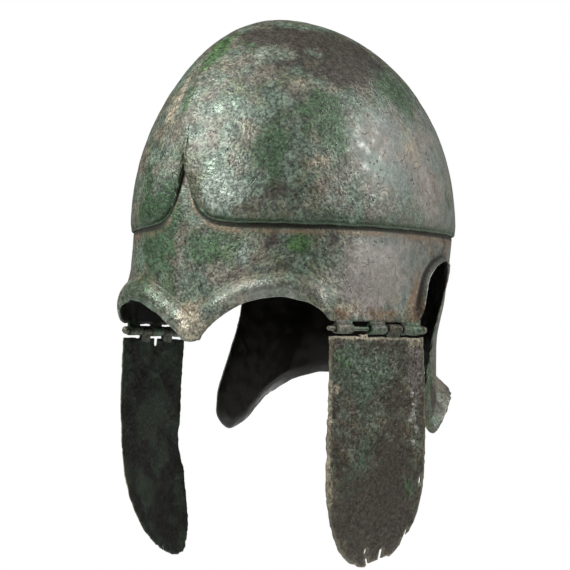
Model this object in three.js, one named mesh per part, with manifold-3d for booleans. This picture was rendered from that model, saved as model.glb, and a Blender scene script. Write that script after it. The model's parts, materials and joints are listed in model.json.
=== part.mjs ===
// Chalcidian helmet: a hammered bronze skull with two cheek pieces that hang on hinge pins.
// Millimetres, +Z up, +X to the wearer's left, -Y to the front.
// The origin is the centre of the ridge that runs round the helmet under its crown.
// Directions round the helmet are degrees from the front, growing towards the wearer's left.
import * as THREE from 'three';
import { mergeVertices } from 'three/addons/utils/BufferGeometryUtils.js';
import Module from 'manifold-3d';

const wasm = await Module();
wasm.setup();

// Plan of the ridge, a rounded oval, and the dome that stands on it
const RIDGE = { halfWidth: 92, front: 110.5, back: 111.5, power: 2.3 };
const CROWN = {
  height: 133.6,
  apexForward: 10,
  apexPower: 6,
  fullerBack: 2.5,
  fullerFront: 6,
  frontPower: 6,
  frontEase: 0.6,
};

// The crown's edge overhangs the band by a step, which rises to a spur over the forehead. The spur leans a
// little towards the wearer's right.
const STEP = { inward: 2.2, drop: 1.5 };
const SPUR = { height: 47, reach: 5.6, power: 0.8 };
const LEAN = { sideways: 5.5, bottom: -25, top: 8, width: 30, back: 30, front: 80 };
const SKULL_WALL = 1.5;

// How far the band stands out from the ridge, by height, in the directions named below
const BAND_DIRECTION = {
  nose: 0,
  brow: 30,
  temple: 55,
  hinge: 80,
  ear: 110,
  lobe: 122,
  nape: 150,
  back: 180,
};
const BAND = [
  { z: 0, nose: -2.2, brow: -2.2, temple: -2.2, hinge: -2.2, ear: -2.2, lobe: -2, nape: -2.2, back: -2.2 },
  { z: -40, nose: -4, brow: -1, temple: 1, hinge: -2, ear: -5, lobe: -6.5, nape: -7, back: -8 },
  { z: -70, nose: -5.5, brow: -2, temple: 0, hinge: -2, ear: -10, lobe: -12, nape: -13, back: -14 },
  { z: -90, nose: -6, brow: -2, temple: 0, hinge: -2, ear: -11.5, lobe: -13, nape: -13, back: -13 },
  { z: -130, nose: -6, brow: -2, temple: 0, hinge: -2, ear: -12, lobe: -12, nape: -10, back: -9 },
];

// The temples are beaten flat towards their hinges
const TEMPLE = {
  facing: 80,
  distance: 89.9,
  frontFade: 34,
  front: 46,
  back: 92,
  backFade: 104,
  top: -22,
  full: -55.5,
};

// Lower edge of the skull from nose to back. Each row gives the edge's direction and height, where the
// line of sheet that ends there starts on the ridge, how much of each edge form it has, and the number
// of strips of sheet up to the next row.
const EDGE = [
  { ridge: 0, at: 0, z: -70, roll: 1, cove: 0, lip: 0, strips: 4 },
  { ridge: 2.6, at: 2.8, z: -70, roll: 1, cove: 0, lip: 0, strips: 2 },
  { ridge: 4.6, at: 4.8, z: -65.8, roll: 1, cove: 0, lip: 0, strips: 3 },
  { ridge: 13, at: 13.6, z: -52.8, roll: 1, cove: 0, lip: 0, strips: 2 },
  { ridge: 23, at: 23.2, z: -45.2, roll: 1, cove: 0, lip: 0, strips: 2 },
  { ridge: 30.5, at: 30.5, z: -43.8, roll: 1, cove: 0, lip: 0, strips: 2 },
  { ridge: 37.5, at: 37.3, z: -45.7, roll: 0.65, cove: 0, lip: 0, strips: 2 },
  { ridge: 43, at: 42.5, z: -50.8, roll: 0.45, cove: 0, lip: 0, strips: 2 },
  { ridge: 47, at: 46.6, z: -57.3, roll: 0.2, cove: 0, lip: 0, strips: 1 },
  { ridge: 50, at: 50, z: -57.3, roll: 0, cove: 0, lip: 0, strips: 4 },
  { ridge: 88, at: 89.5, z: -57.3, roll: 0, cove: 0, lip: 0, strips: 2 },
  { ridge: 91.5, at: 91.5, z: -47, roll: 0, cove: 1, lip: 0, strips: 2 },
  { ridge: 97, at: 97, z: -31, roll: 0, cove: 1, lip: 0, strips: 2 },
  { ridge: 105, at: 105, z: -21.5, roll: 0, cove: 1, lip: 0, strips: 1 },
  { ridge: 114, at: 114, z: -18, roll: 0, cove: 1, lip: 0, strips: 2 },
  { ridge: 123, at: 121, z: -21, roll: 0, cove: 0.8, lip: 0, strips: 2 },
  { ridge: 130, at: 123.8, z: -31, roll: 0, cove: 0.5, lip: 0, strips: 2 },
  { ridge: 135, at: 121.5, z: -49, roll: 0, cove: 0.3, lip: 0, strips: 2 },
  { ridge: 142, at: 114.3, z: -77, roll: 0, cove: 0.3, lip: 0, strips: 2 },
  { ridge: 147.5, at: 107.6, z: -103, roll: 0, cove: 0.3, lip: 0, strips: 2 },
  { ridge: 149.8, at: 107.2, z: -114, roll: 0, cove: 0.2, lip: 0.1, strips: 1 },
  { ridge: 152, at: 111, z: -122.5, roll: 0, cove: 0, lip: 0.25, strips: 1 },
  { ridge: 153.5, at: 116, z: -125.5, roll: 0, cove: 0, lip: 0.35, strips: 2 },
  { ridge: 156, at: 123.5, z: -120.5, roll: 0, cove: 0, lip: 0.5, strips: 2 },
  { ridge: 161, at: 136, z: -101.5, roll: 0, cove: 0, lip: 1.1, strips: 2 },
  { ridge: 167.5, at: 150, z: -89, roll: 0, cove: 0, lip: 0.25, strips: 3 },
  { ridge: 180, at: 180, z: -84, roll: 0, cove: 0, lip: 0.2, strips: 0 },
];

// Edge forms: a half-round brow roll, the cove of the ear edge and the flared lip of the neck guard
const ROLL = { height: 5.5, width: 13.5, tuckedUnder: 2.5, power: 0.65 };
const COVE = { height: 4.5, width: 6 };
const LIP = { height: 9.5, width: 6.5 };
const SHEET_RADIUS = 95;

// Rows of facets down the skull: on the crown, between ridge and edge forms, and in the edge forms
const CROWN_ROWS = 7;
const BAND_ROWS = 4;
const EDGE_ROW_DISTANCES = [13.5, 11, 8.5, 5.5, 2.5, 0];

// Hinge line of the left temple: level, turned a little from straight back, in the middle of the sheet
const HINGE = { z: -62, turn: 10, distance: TEMPLE.distance - SKULL_WALL / 2 };
const KNUCKLE = { radius: 3.2, bore: 1.7, tab: 7, segments: 14 };
const SKULL_KNUCKLES = [
  { from: -56, to: -41.8 },
  { from: -27.1, to: -13.1 },
  { from: 1.9, to: 18.8 },
];
const CHEEK_KNUCKLES = [
  { from: -40.4, to: -28.5, brokenOnLeft: true },
  { from: -11.7, to: 0.5, brokenOnLeft: false },
];
const STUB = { from: -35, to: -28.5, top: 3.4 };
const PIN = { radius: 1.35, from: -62.5, ballCentre: 21.8, ballRadius: 2.5, segments: 12 };

// Cheek piece: straight sides, then an elliptical end. It leans out from the hinge and its end bends in,
// so that it hangs at rest under its hinge.
const CHEEK = { front: -61.5, back: 21.4, top: 4.7, straight: 90, length: 143, wall: 1.7 };
const CHEEK_FORM = { lean: 0.06, bend: 21.5, bendPower: 3.2, tipBack: 5, curl: 2 };

// The back edge of the right cheek piece is worn away, by depth under the hinge
const RIGHT_WEAR = [
  { v: 0, back: 2.5 },
  { v: 58, back: 6 },
  { v: 70, back: 9 },
  { v: 88, back: 5.5 },
  { v: 143, back: 4 },
];
const CHEEK_ROWS = { straight: 7, end: 8, across: 10 };

const BRONZE = {
  skull: new THREE.MeshStandardMaterial({ color: 0x5b6a58, roughness: 0.5, metalness: 0.6 }),
  cheek: new THREE.MeshStandardMaterial({ color: 0x4a4a3a, roughness: 0.7, metalness: 0.4 }),
  pin: new THREE.MeshStandardMaterial({ color: 0x6e6a55, roughness: 0.6, metalness: 0.5 }),
};

const radians = THREE.MathUtils.degToRad;
const { lerp, smoothstep } = THREE.MathUtils;

// Smooth curve through (x, y) pairs that keeps flat stretches flat and never overshoots
function curve(xs, ys, x) {
  const last = xs.length - 2;
  let i = 0;
  while (i < last && x > xs[i + 1]) i += 1;
  const grade = (k) => (ys[k + 1] - ys[k]) / (xs[k + 1] - xs[k]);
  const slope = (k) => {
    if (k === 0 || k === xs.length - 1) return grade(Math.min(k, last));
    const before = grade(k - 1);
    const after = grade(k);
    return before * after > 0 ? (2 * before * after) / (before + after) : 0;
  };
  const width = xs[i + 1] - xs[i];
  const t = THREE.MathUtils.clamp((x - xs[i]) / width, 0, 1);
  const rise = (3 - 2 * t) * t * t;
  const ease = (1 - t) * (1 - t) * t * slope(i) - t * t * (1 - t) * slope(i + 1);
  return lerp(ys[i], ys[i + 1], rise) + width * ease;
}

function ridgeRadius(at) {
  const across = Math.abs(Math.sin(radians(at))) / RIDGE.halfWidth;
  const along = Math.cos(radians(at));
  const depth = along > 0 ? RIDGE.front : RIDGE.back;
  return (across ** RIDGE.power + (Math.abs(along) / depth) ** RIDGE.power) ** (-1 / RIDGE.power);
}

// Height of the crown's edge at a distance from the middle line
function spurHeight(fromMiddle) {
  return SPUR.height * Math.exp(-((fromMiddle / SPUR.reach) ** SPUR.power));
}

function leanSpur([x, y, z]) {
  const ahead = smoothstep(-y, LEAN.back, LEAN.front);
  const share = ahead * smoothstep(z, LEAN.bottom, LEAN.top) * Math.exp(-((x / LEAN.width) ** 2));
  return [x - LEAN.sideways * share, y, z];
}

// How far back the dome lies from an upright oval: its apex is set forward and its sides are full
function crownShift(ridge, climb) {
  const full = Math.sin(2 * climb);
  const ahead = Math.max(Math.cos(radians(ridge)), 0) ** CROWN.frontPower;
  const forward = CROWN.apexForward * Math.sin(climb) ** CROWN.apexPower;
  return CROWN.fullerBack * full - forward - CROWN.fullerFront * ahead * full ** CROWN.frontEase;
}

function bandOffset(at, z) {
  const names = Object.keys(BAND_DIRECTION);
  const directions = names.map((name) => BAND_DIRECTION[name]);
  const levels = BAND.toReversed();
  const heights = levels.map((row) => row.z);
  const offsets = levels.map((row) => curve(directions, names.map((name) => row[name]), at));
  return curve(heights, offsets, Math.min(z, 0));
}

function bandRadius(at, z) {
  const round = ridgeRadius(at) + bandOffset(at, z);
  const before = smoothstep(at, TEMPLE.frontFade, TEMPLE.front);
  const across = before - smoothstep(at, TEMPLE.back, TEMPLE.backFade);
  const down = 1 - smoothstep(z, TEMPLE.full, TEMPLE.top);
  const flat = TEMPLE.distance / Math.cos(radians(at - TEMPLE.facing));
  return across > 0 ? lerp(round, flat, across * down) : round;
}

// A point of the edge: t counts rows of the EDGE table
function edgeAt(t) {
  const counts = EDGE.map((row, k) => k);
  const point = {};
  for (const name of ['ridge', 'at', 'z', 'roll', 'cove', 'lip']) {
    point[name] = curve(counts, EDGE.map((row) => row[name]), t);
  }
  return point;
}

function edgeStations() {
  const stations = [];
  EDGE.forEach((row, k) => {
    for (let j = 0; j < row.strips; j += 1) stations.push(k + j / row.strips);
  });
  stations.push(EDGE.length - 1);
  return stations;
}

const edgePoints = Array.from({ length: 6 * EDGE.length - 5 }, (unused, k) => edgeAt(k / 6));

// How far the edge forms push the sheet out, from the nearest point of the edge
function edgePush(at, z) {
  let nearest = Infinity;
  let form = edgePoints[0];
  for (const point of edgePoints) {
    const apart = Math.hypot(radians(point.at - at) * SHEET_RADIUS, point.z - z);
    if (apart < nearest) {
      nearest = apart;
      form = point;
    }
  }
  const over = Math.min((nearest + ROLL.tuckedUnder) / (ROLL.width + ROLL.tuckedUnder), 1);
  const roll = ROLL.height * Math.sin(Math.PI * over) ** ROLL.power;
  const cove = COVE.height * Math.max(1 - nearest / COVE.width, 0) ** 2;
  const lip = LIP.height * Math.max(1 - nearest / LIP.width, 0) ** 2;
  return form.roll * roll + form.cove * cove + form.lip * lip;
}

function onSheet(at, radius, z) {
  return [radius * Math.sin(radians(at)), -radius * Math.cos(radians(at)), z];
}

// One line of sheet from the crown's apex to the edge, on its outer or its inner face
function sheetLine(station, depth) {
  const edge = edgeAt(station);
  const reach = ridgeRadius(edge.ridge);
  const sideways = edge.ridge < 90 ? reach * Math.sin(radians(edge.ridge)) : reach;
  const brim = spurHeight(Math.max(sideways - depth, 0)) + depth * 0.6;
  const height = CROWN.height - depth;
  const points = [];
  for (let k = 1; k <= CROWN_ROWS; k += 1) {
    const climb = lerp(Math.PI / 2, Math.asin(brim / height), k / CROWN_ROWS);
    const [x, y, z] = onSheet(edge.ridge, (reach - depth) * Math.cos(climb), height * Math.sin(climb));
    points.push([x, y + crownShift(edge.ridge, climb), z]);
  }
  const crownEdge = Math.hypot(points.at(-1)[0], points.at(-1)[1]);
  points.push(onSheet(edge.ridge, crownEdge - STEP.inward, brim - STEP.drop));
  const top = brim - STEP.drop - 1;
  const run = Math.hypot(radians(edge.at - edge.ridge) * SHEET_RADIUS, top - edge.z);
  const formed = Math.min(EDGE_ROW_DISTANCES[0], 0.6 * run);
  const fractions = [];
  for (let k = 0; k < BAND_ROWS; k += 1) {
    fractions.push((k / BAND_ROWS) * (1 - formed / run));
  }
  for (const distance of EDGE_ROW_DISTANCES) {
    fractions.push(1 - ((distance / EDGE_ROW_DISTANCES[0]) * formed) / run);
  }
  for (const t of fractions.slice(1)) {
    const at = lerp(edge.ridge, edge.at, t);
    const z = lerp(top, edge.z, t);
    const crownInset = z > 0 ? ridgeRadius(at) * (1 - Math.sqrt(1 - (z / CROWN.height) ** 2)) : 0;
    points.push(onSheet(at, bandRadius(at, z) - crownInset + edgePush(at, z) - depth, z));
  }
  return points;
}

// Closed solid from two faces of equal grids, each a list of lines that goes once round, with apexes
function closedShell(outer, inner, outerApex, innerApex) {
  const lines = outer.length;
  const rows = outer[0].length;
  const positions = [...outer.flat(), ...inner.flat(), outerApex, innerApex];
  const at = (face, line, row) => (face * lines + (line % lines)) * rows + row;
  const apexes = [2 * lines * rows, 2 * lines * rows + 1];
  const triangles = [];
  const quad = (a, b, c, d) => triangles.push([a, b, c], [a, c, d]);
  for (let line = 0; line < lines; line += 1) {
    triangles.push([apexes[0], at(0, line, 0), at(0, line + 1, 0)]);
    triangles.push([apexes[1], at(1, line + 1, 0), at(1, line, 0)]);
    for (let row = 0; row < rows - 1; row += 1) {
      quad(at(0, line, row), at(0, line, row + 1), at(0, line + 1, row + 1), at(0, line + 1, row));
      quad(at(1, line, row), at(1, line + 1, row), at(1, line + 1, row + 1), at(1, line, row + 1));
    }
    const rim = rows - 1;
    quad(at(0, line, rim), at(1, line, rim), at(1, line + 1, rim), at(0, line + 1, rim));
  }
  return meshGeometry(positions, triangles);
}

function weld(geometry) {
  geometry.deleteAttribute('normal');
  geometry.deleteAttribute('uv');
  return mergeVertices(geometry, 1e-4);
}

function meshGeometry(positions, triangles) {
  const geometry = new THREE.BufferGeometry();
  geometry.setAttribute('position', new THREE.Float32BufferAttribute(positions.flat(), 3));
  geometry.setIndex(triangles.flat());
  return geometry;
}

function skullShell() {
  const stations = edgeStations();
  const face = (depth) => {
    const left = stations.map((station) => sheetLine(station, depth));
    const mirrored = left.slice(1, -1).map((line) => line.map(([x, y, z]) => [-x, y, z]));
    return [...left, ...mirrored.toReversed()].map((line) => line.map(leanSpur));
  };
  const apex = (depth) => [0, -CROWN.apexForward, CROWN.height - depth];
  return closedShell(face(0), face(SKULL_WALL), apex(0), apex(SKULL_WALL));
}

// Hinge space of the left temple: u runs back along the hinge, w outwards, v down
function fromHinge(u, w, v) {
  const out = HINGE.distance + w;
  const turn = radians(HINGE.turn);
  const x = out * Math.cos(turn) + u * Math.sin(turn);
  const y = u * Math.cos(turn) - out * Math.sin(turn);
  return [x, y, HINGE.z - v];
}

// Moves a shape drawn round the Z axis, with +Y up, onto the hinge line
function placeAtHinge(geometry) {
  const welded = weld(geometry);
  const position = welded.attributes.position;
  for (let k = 0; k < position.count; k += 1) {
    position.setXYZ(k, ...fromHinge(position.getZ(k), -position.getX(k), -position.getY(k)));
  }
  return welded;
}

// A rolled knuckle: a tube round the pin with a tab that runs into its sheet, up or down
function knuckle({ from, to }, tabDirection, tabWall) {
  const half = tabWall / 2;
  const start = Math.asin(half / KNUCKLE.radius);
  const shape = new THREE.Shape();
  shape.moveTo(half, tabDirection * KNUCKLE.tab);
  const first = tabDirection * (Math.PI / 2 - start);
  shape.absarc(0, 0, KNUCKLE.radius, first, Math.PI - first, tabDirection > 0);
  shape.lineTo(-half, tabDirection * KNUCKLE.tab);
  shape.closePath();
  const bore = new THREE.Path();
  bore.absarc(0, 0, KNUCKLE.bore, 0, 2 * Math.PI);
  shape.holes.push(bore);
  const tube = new THREE.ExtrudeGeometry(shape, {
    depth: to - from,
    bevelEnabled: false,
    curveSegments: KNUCKLE.segments,
  });
  tube.translate(0, 0, from);
  return placeAtHinge(tube);
}

function brokenStub() {
  const height = KNUCKLE.tab - STUB.top;
  const stub = new THREE.BoxGeometry(CHEEK.wall, height, STUB.to - STUB.from);
  stub.translate(0, -STUB.top - height / 2, (STUB.from + STUB.to) / 2);
  return placeAtHinge(stub);
}

// Middle of the cheek piece's sheet, from its outline: share runs -1 to 1 from front to back
function cheekPoint(share, v, halfWidth, side, wear) {
  const down = v / CHEEK.length;
  const middle = (CHEEK.front + CHEEK.back) / 2 + CHEEK_FORM.tipBack * down ** 3;
  const inward = CHEEK_FORM.bend * down ** CHEEK_FORM.bendPower + CHEEK_FORM.curl * share * share * down;
  const w = CHEEK_FORM.lean * v - inward + side * (CHEEK.wall / 2);
  return fromHinge(middle + share * halfWidth - (wear * (1 + share)) / 2, w, v);
}

function cheekPlate(wear) {
  const worn = (v) => (wear ? curve(wear.map((row) => row.v), wear.map((row) => row.back), v) : 0);
  const halfWidth = (CHEEK.back - CHEEK.front) / 2;
  const rows = [];
  for (let k = 0; k < CHEEK_ROWS.straight; k += 1) {
    rows.push({ v: lerp(CHEEK.top, CHEEK.straight, k / CHEEK_ROWS.straight), half: halfWidth });
  }
  for (let k = 0; k < CHEEK_ROWS.end; k += 1) {
    const round = radians((84 * k) / (CHEEK_ROWS.end - 1));
    const v = CHEEK.straight + (CHEEK.length - CHEEK.straight) * Math.sin(round);
    rows.push({ v, half: halfWidth * Math.cos(round) });
  }
  const columns = CHEEK_ROWS.across;
  const face = (side) => rows.flatMap(({ v, half }) => {
    const shares = Array.from({ length: columns + 1 }, (unused, k) => (2 * k) / columns - 1);
    return shares.map((share) => cheekPoint(share, v, half, side, Math.min(worn(v), half / 2)));
  });
  const across = columns + 1;
  const count = rows.length * across;
  const triangles = [];
  const quad = (a, b, c, d) => triangles.push([a, b, c], [a, c, d]);
  for (let row = 0; row < rows.length - 1; row += 1) {
    for (let k = 0; k < columns; k += 1) {
      const a = row * across + k;
      quad(a, a + across, a + across + 1, a + 1);
      quad(count + a, count + a + 1, count + a + across + 1, count + a + across);
    }
  }
  const border = [];
  for (let k = 0; k < columns; k += 1) border.push(k);
  for (let row = 0; row < rows.length - 1; row += 1) border.push(row * across + columns);
  for (let k = columns; k > 0; k -= 1) border.push((rows.length - 1) * across + k);
  for (let row = rows.length - 1; row > 0; row -= 1) border.push(row * across);
  border.forEach((a, k) => {
    const b = border[(k + 1) % border.length];
    quad(a, b, count + b, count + a);
  });
  return meshGeometry([...face(1), ...face(-1)], triangles);
}

function hingePin(ballAtBack) {
  const { radius, from, ballCentre, ballRadius } = PIN;
  const profile = [new THREE.Vector2(0, from)];
  profile.push(new THREE.Vector2(radius * 0.7, from + radius * 0.3));
  profile.push(new THREE.Vector2(radius, from + radius));
  const neck = Math.asin(radius / ballRadius);
  const arcs = 8;
  for (let k = 0; k <= arcs; k += 1) {
    const turn = lerp(neck, Math.PI, k / arcs);
    const out = k === arcs ? 0 : ballRadius * Math.sin(turn);
    profile.push(new THREE.Vector2(out, ballCentre - ballRadius * Math.cos(turn)));
  }
  const pin = new THREE.LatheGeometry(profile, PIN.segments);
  pin.rotateX(Math.PI / 2);
  if (!ballAtBack) {
    pin.rotateY(Math.PI);
    pin.translate(0, 0, SKULL_KNUCKLES[0].from + SKULL_KNUCKLES.at(-1).to);
  }
  return placeAtHinge(pin);
}

function toManifold(geometry) {
  const welded = weld(geometry);
  const vertProperties = new Float32Array(welded.attributes.position.array);
  const triVerts = new Uint32Array(welded.index.array);
  return new wasm.Manifold(new wasm.Mesh({ numProp: 3, vertProperties, triVerts }));
}

function fuse(geometries) {
  const solids = geometries.map(toManifold);
  const whole = solids.slice(1).reduce((sum, solid) => sum.add(solid), solids[0]);
  const { vertProperties, triVerts } = whole.getMesh();
  const geometry = new THREE.BufferGeometry();
  geometry.setAttribute('position', new THREE.BufferAttribute(vertProperties, 3));
  geometry.setIndex(new THREE.BufferAttribute(triVerts, 1));
  return geometry;
}

function mirrored(geometry) {
  const copy = geometry.clone();
  copy.scale(-1, 1, 1);
  const index = copy.index.array;
  for (let k = 0; k < index.length; k += 3) {
    [index[k], index[k + 1]] = [index[k + 1], index[k]];
  }
  return copy;
}

function facetted(name, geometry, material) {
  const plain = geometry.toNonIndexed();
  plain.computeVertexNormals();
  const mesh = new THREE.Mesh(plain, material);
  mesh.name = name;
  return mesh;
}

const templeKnuckles = SKULL_KNUCKLES.map((row) => knuckle(row, 1, SKULL_WALL));
const wholeKnuckles = CHEEK_KNUCKLES.map((row) => knuckle(row, -1, CHEEK.wall));
const leftKnuckles = wholeKnuckles.filter((unused, k) => !CHEEK_KNUCKLES[k].brokenOnLeft);

const helmet = new THREE.Group();
helmet.name = 'chalcidian_helmet';
helmet.add(
  facetted('skull', fuse([skullShell(), ...templeKnuckles, ...templeKnuckles.map(mirrored)]), BRONZE.skull),
  facetted('cheek_left', fuse([cheekPlate(), ...leftKnuckles, brokenStub()]), BRONZE.cheek),
  facetted('cheek_right', mirrored(fuse([cheekPlate(RIGHT_WEAR), ...wholeKnuckles])), BRONZE.cheek),
  facetted('hinge_pin_left', hingePin(true), BRONZE.pin),
  facetted('hinge_pin_right', mirrored(hingePin(false)), BRONZE.pin),
);

export default helmet;
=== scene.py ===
import json
import math

import bpy
import numpy as np
from mathutils import Matrix, Vector


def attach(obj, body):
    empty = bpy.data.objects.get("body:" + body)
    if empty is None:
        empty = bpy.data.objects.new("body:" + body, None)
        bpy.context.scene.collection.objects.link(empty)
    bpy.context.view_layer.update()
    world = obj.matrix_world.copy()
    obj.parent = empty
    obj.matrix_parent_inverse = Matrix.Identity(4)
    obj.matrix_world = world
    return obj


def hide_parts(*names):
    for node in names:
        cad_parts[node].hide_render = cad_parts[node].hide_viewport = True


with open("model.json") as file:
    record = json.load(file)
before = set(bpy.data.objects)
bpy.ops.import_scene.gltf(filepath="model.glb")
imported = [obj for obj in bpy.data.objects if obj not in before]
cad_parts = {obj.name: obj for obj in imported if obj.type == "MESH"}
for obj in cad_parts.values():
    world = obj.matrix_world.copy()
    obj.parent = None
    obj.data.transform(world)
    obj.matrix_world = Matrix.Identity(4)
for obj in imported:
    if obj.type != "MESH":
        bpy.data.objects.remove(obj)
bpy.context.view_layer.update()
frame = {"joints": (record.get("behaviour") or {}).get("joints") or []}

MM = 0.001

# Shapes are worked out in millimetres: +Z up, +X to the wearer's left, -Y to the front.
# Directions round the helmet are degrees from the front, growing towards the wearer's left.

# Plan of the ridge, the dome on it, and the step under the dome with its spur over the forehead
RIDGE = {"half_width": 92, "front": 110.5, "back": 111.5, "power": 2.3}
CROWN = {
    "height": 133.6,
    "apex_forward": 10,
    "apex_power": 6,
    "fuller_back": 2.5,
    "fuller_front": 6,
    "front_power": 6,
    "front_ease": 0.6,
}
SPUR = {"height": 50, "reach": 5.6, "power": 0.8}
LEAN = {"sideways": 5.5, "bottom": -25, "top": 8, "width": 30, "front": -80, "back": -30}
SKULL_WALL = 1.5
STEP_DROP = 1.5
BAND_BELOW_STEP = 1
LEDGE_OVERLAP = 0.4
INNER_BRIM_RISE = 0.6

# The step's profile: drop below the crown's edge, and share of the way in to the band
OUTER_STEP = [(-0.3, 0.0), (0.3, 0.08), (0.8, 0.28), (1.2, 0.6), (1.6, 0.92), (2.0, 1.0)]
INNER_STEP = [(1.5, 0.9)]

# The crown rounds in towards its edge, most of all beside the spur
CROWN_ROUND = {
    "width": 10,
    "depth": 0.9,
    "spur_depth": 3.2,
    "spur_width": 24,
    "tip_width": 4.5,
    "tip_share": 0.75,
}

# How far the band stands out from the ridge, by height (rows) and direction (columns)
BAND_DIRECTIONS = [0, 30, 55, 80, 110, 122, 150, 180]
BAND_HEIGHTS = [-130, -90, -70, -40, 0]
BAND_OFFSETS = [
    [-6, -2, 0, -2, -12, -12, -10, -9],
    [-6, -2, 0, -2, -11.5, -13, -13, -13],
    [-5.5, -2, 0, -2, -10, -12, -13, -14],
    [-4, -1, 1, -2, -5, -6.5, -7, -8],
    [-2.2, -2.2, -2.2, -2.2, -2.2, -2, -2.2, -2.2],
]

# The temples are beaten flat towards their hinges
TEMPLE = {
    "facing": 80,
    "distance": 89.9,
    "front": (34, 46),
    "back": (92, 104),
    "height": (-55.5, -22),
}

# Lower edge of the skull from nose to back: direction on the ridge that the sheet comes down from,
# direction and height of the edge, and how much of each edge form it has
EDGE_COLUMNS = ("ridge", "at", "z", "roll", "cove", "lip")
EDGE = [
    (0, 0, -70, 1, 0, 0),
    (2.6, 2.8, -70, 1, 0, 0),
    (4.6, 4.8, -65.8, 1, 0, 0),
    (13, 13.6, -52.8, 1, 0, 0),
    (23, 23.2, -45.2, 1, 0, 0),
    (30.5, 30.5, -43.8, 1, 0, 0),
    (37.5, 37.3, -45.7, 0.65, 0, 0),
    (43, 42.5, -50.8, 0.45, 0, 0),
    (47, 46.6, -57.3, 0.2, 0, 0),
    (50, 50, -57.3, 0, 0, 0),
    (88, 89.5, -57.3, 0, 0, 0),
    (91.5, 91.5, -47, 0, 1, 0),
    (97, 97, -31, 0, 1, 0),
    (105, 105, -21.5, 0, 1, 0),
    (114, 114, -18, 0, 1, 0),
    (123, 121, -21, 0, 0.8, 0),
    (130, 123.8, -31, 0, 0.5, 0),
    (135, 121.5, -49, 0, 0.3, 0),
    (142, 114.3, -77, 0, 0.3, 0),
    (147.5, 107.6, -103, 0, 0.3, 0),
    (149.8, 107.2, -114, 0, 0.2, 0.1),
    (152, 111, -122.5, 0, 0, 0.25),
    (153.5, 116, -125.5, 0, 0, 0.35),
    (156, 123.5, -120.5, 0, 0, 0.5),
    (161, 136, -101.5, 0, 0, 1.1),
    (167.5, 150, -89, 0, 0, 0.25),
    (180, 180, -84, 0, 0, 0.2),
]
ROLL = {"height": 5.5, "width": 13.5, "tucked_under": 2.5, "power": 0.65}
COVE = {"height": 4.5, "width": 6}
LIP = {"height": 9.5, "width": 6.5}
SHEET_RADIUS = 95
EDGE_SAMPLES = 30
FORMED_WIDTH = 20
FORMED_SHARE = 0.6

# Painted shade under the step: full down to the first depth below the band's top, gone at the second
STEP_SHADE = (0.8, 2.2)

# Dirt, rust, wear, painted highlight and painted shade along the skull's lines: distance of the middle
# from the step or edge, and width
STEP_CREASE = (2.7, 1.8)
ROLL_CREASE = (13.5, 2.5)
COVE_CREASE = (8.5, 1.6)
ROLL_HIGHLIGHT_AND_WEAR = (5.5, 3.5)
RIM_HIGHLIGHT = (0, 0.9)
COVE_RUST = (6.5, 4)
COVE_SHADE = (2.9, 2.4)
DIRT_SHARES = {"roll_crease": 0.4, "cove_crease": 0.15, "cove_rust": 0.3}

# Mesh density of the skull's two faces
SKULL_COLUMNS = 225
OUTER_ROWS = {"crown": 74, "band": 32, "edge": 30}
INNER_ROWS = {"crown": 26, "band": 12, "edge": 12}
COLUMN_SAMPLES = 4000
SPUR_CLOSER = {"times": 2, "from": 6, "to": 12}

# Wear of the skull's sheet: hammered swell, lumps, the soft keel over the spur and the frayed edge
SWELL = {"size": 46, "height": 0.5}
LUMPS = {"size": 9, "height": 0.22, "smoothed": 0.6}
LIP_LUMPS = {"size": 5, "height": 0.5}
KEEL = {"height": 1.6, "half_width": 7, "start": (22, 40), "end": (108, 128)}
KEEL_HEIGHTS = [34, 40, 57, 98, 125]
KEEL_SIDEWAYS = [-4, -4.5, -8, -11, -11]
FRAY = {"size": 6, "height": 0.5, "reach": 7, "flatten": 0.4}
CRACK = {"width": 1.4, "depth": 1.3, "path": [(115, -3), (118, -7.5), (115.5, -12), (117.5, -16)]}
NASAL_BREAK = {"across": (6, 9), "up": (-66, -60), "size": 2.6, "height": 1.1}

# Hinge of the left temple, taken from its joint: knuckles along it (from, to) and its pin
LEFT_HINGE = next(joint for joint in frame["joints"] if joint["name"] == "cheek_left_hinge")
KNUCKLE = {"radius": 3.2, "bore": 1.7, "tab": 7, "bevel": 0.5, "around": 30, "along": 14}
KNUCKLE_WEAR = {"size": 3.5, "depth": 0.25, "end_squeeze": 0.12}
KNUCKLE_MARKS = {"green": 0.5, "brown": 0.35, "smooth": 0.3}
BORE_SEAM = 0.05
UP = -1
DOWN = 1
SKULL_KNUCKLES = [(-56, -41.8), (-27.1, -13.1), (1.9, 18.8)]
CHEEK_KNUCKLES = [(-40.4, -28.5), (-11.7, 0.5)]
STUB = {"from": -35, "to": -28.5, "top": 3.4, "columns": 12, "ragged": 0.5, "bevel": (0.5, 0.6)}
PIN = {"radius": 1.35, "from": -62.5, "ball_centre": 21.8, "ball_radius": 2.5}
PIN_TIP = {"length": 0.4, "radius": 0.9, "least_radius": 0.05}
PIN_WEAR = {"size": 2.5, "share": 0.06}
PIN_MESH = {"around": 24, "along": 60, "ball": 14}

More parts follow.
